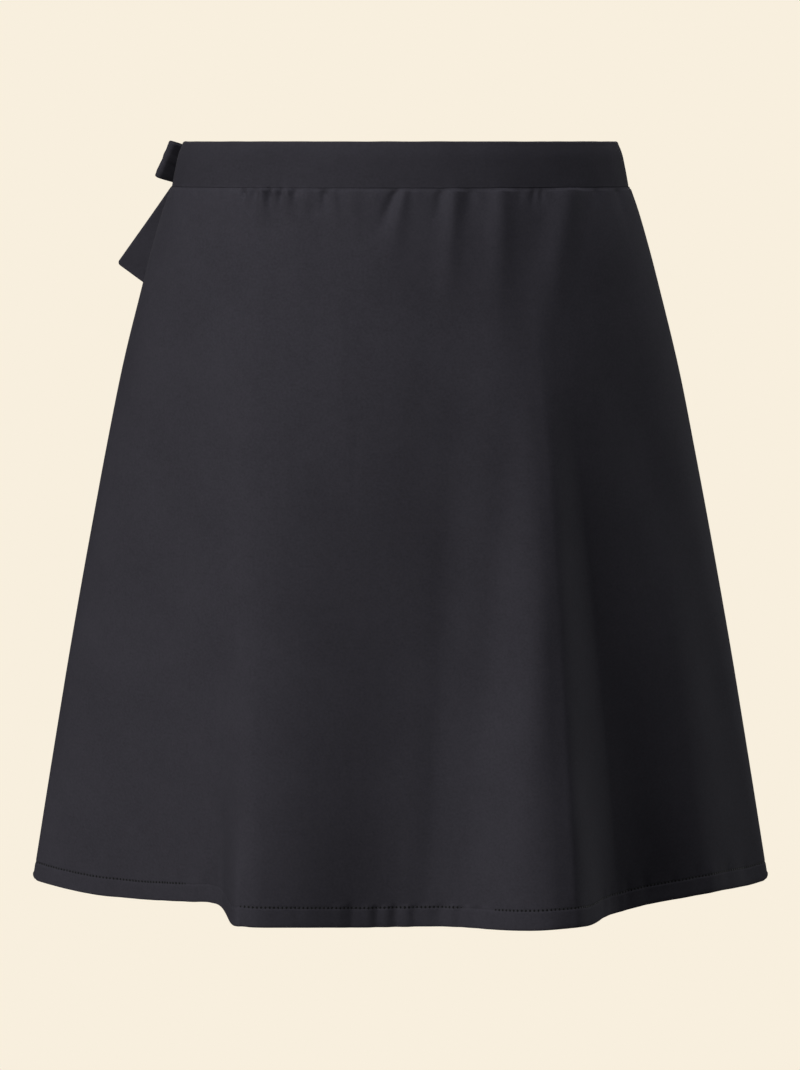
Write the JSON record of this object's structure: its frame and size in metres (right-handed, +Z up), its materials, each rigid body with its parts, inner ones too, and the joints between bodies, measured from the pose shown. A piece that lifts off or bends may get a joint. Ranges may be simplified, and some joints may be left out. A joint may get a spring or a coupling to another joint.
{
  "type": "tennis skort",
  "caption": "Flared knit skort, a skirt over hidden inner shorts on a flat waistband with a side bow, filled out as worn and open at the waist, hem and legs.",
  "frame": {"origin": "centre of the waist at the waistband's mid height, where the wearer's waist holds the skort", "axes": "+Z up along the body, +Y towards the wearer's front, +X towards the wearer's right, so the bow is at -X +Y"},
  "size_m": [0.4144, 0.2479, 0.4194],
  "materials": {
    "skirt_knit": "matt dark charcoal stretch knit with a faint sheen",
    "waistband_knit": "the same knit drawn flat over elastic",
    "shorts_knit": "thin dark charcoal stretch knit",
    "tie_knit": "doubled strip of the skirt's knit"
  },
  "bodies": {
    "root": {"waistband": "waistband_knit", "skirt_back": "skirt_knit", "skirt_front": "skirt_knit", "shorts_left": "shorts_knit", "shorts_right": "shorts_knit", "bow_knot": "tie_knit", "bow_loop_back": "tie_knit", "bow_loop_front": "tie_knit", "tie_end_back": "tie_knit", "tie_end_front": "tie_knit"}
  },
  "joints": []
}
